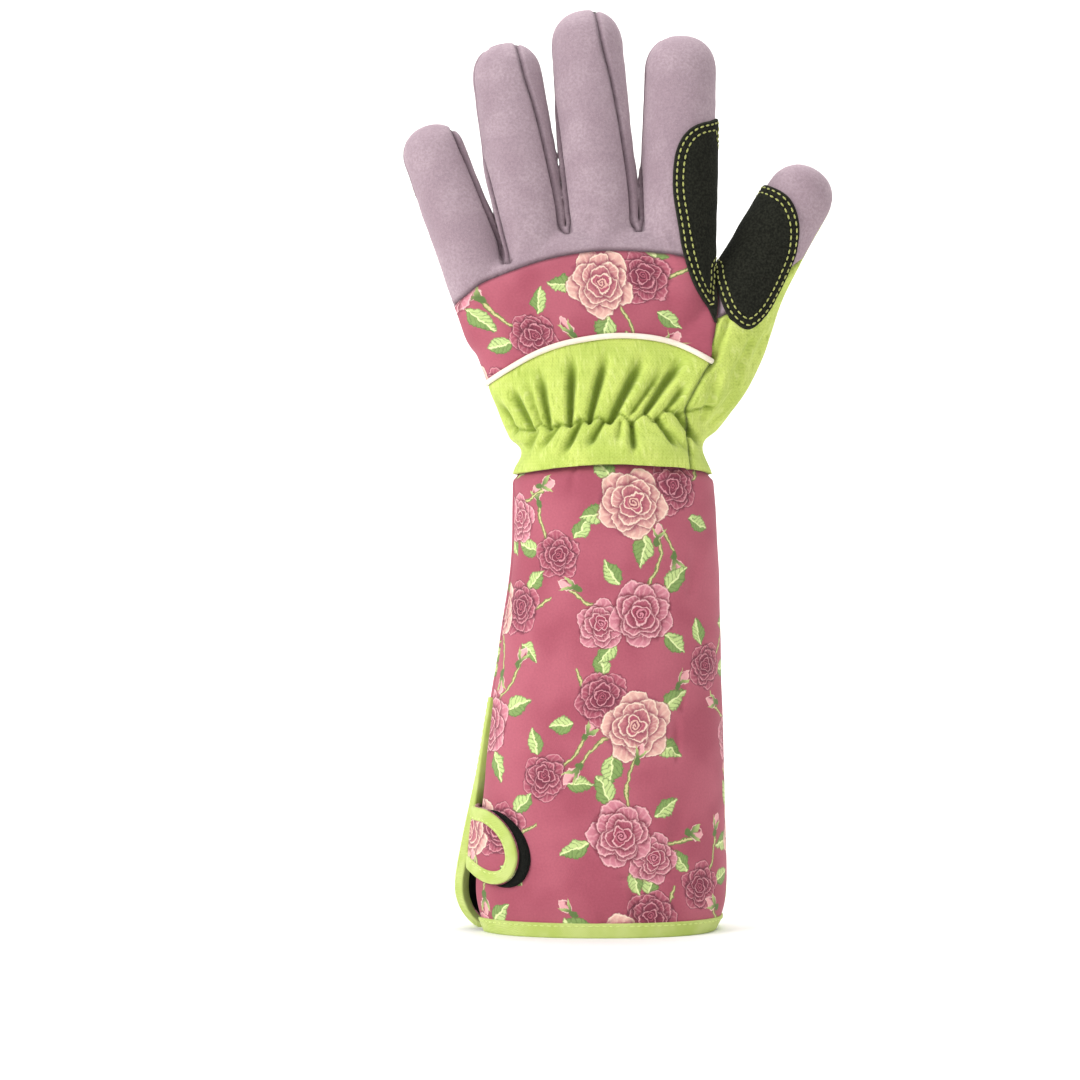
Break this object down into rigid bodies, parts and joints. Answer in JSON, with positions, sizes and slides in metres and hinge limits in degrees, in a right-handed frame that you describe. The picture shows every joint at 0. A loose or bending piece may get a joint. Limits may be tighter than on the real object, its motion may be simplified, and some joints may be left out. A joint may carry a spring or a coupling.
{
  "type": "gardening gauntlet glove",
  "caption": "Long-cuffed pruning glove for a left hand: suede palm and fingers, printed back and cuff, gathered wrist, padded wear patches.",
  "frame": {"origin": "middle of the wrist, on the line of the elastic", "axes": "+Z towards the fingertips, +X to the thumb, +Y out of the palm, so -Y out of the back of the hand"},
  "size_m": [0.1834, 0.077, 0.391],
  "materials": {
    "suede": "matt mauve synthetic suede",
    "lime_knit": "matt lime mesh knit",
    "rose_print": "satin twill printed with roses",
    "cream_piping": "satin cream piping",
    "black_cloth": "matt black pile cloth with lime stitching",
    "lime_binding": "matt lime woven tape",
    "loop_pile": "matt black loop pile"
  },
  "bodies": {
    "root": {"palm_panel": "suede", "finger_yoke": "suede", "fourchette_little_ring": "suede", "fourchette_ring_middle": "suede", "fourchette_middle_index": "suede", "thumb_back": "suede", "thumb_gusset": "lime_knit", "back_panel": "rose_print", "wrist_band": "lime_knit", "back_piping": "cream_piping", "index_patch": "black_cloth", "thumb_patch": "black_cloth", "little_tip_patch": "black_cloth", "ring_tip_patch": "black_cloth", "middle_tip_patch": "black_cloth", "index_tip_patch": "black_cloth", "palm_patch": "black_cloth", "heel_patch": "black_cloth", "gauntlet_cuff": "rose_print", "hem_binding": "lime_binding", "slit_binding": "lime_binding", "loop_pad": "loop_pile", "closure_tab": "rose_print", "tab_binding": "lime_binding"}
  },
  "joints": []
}
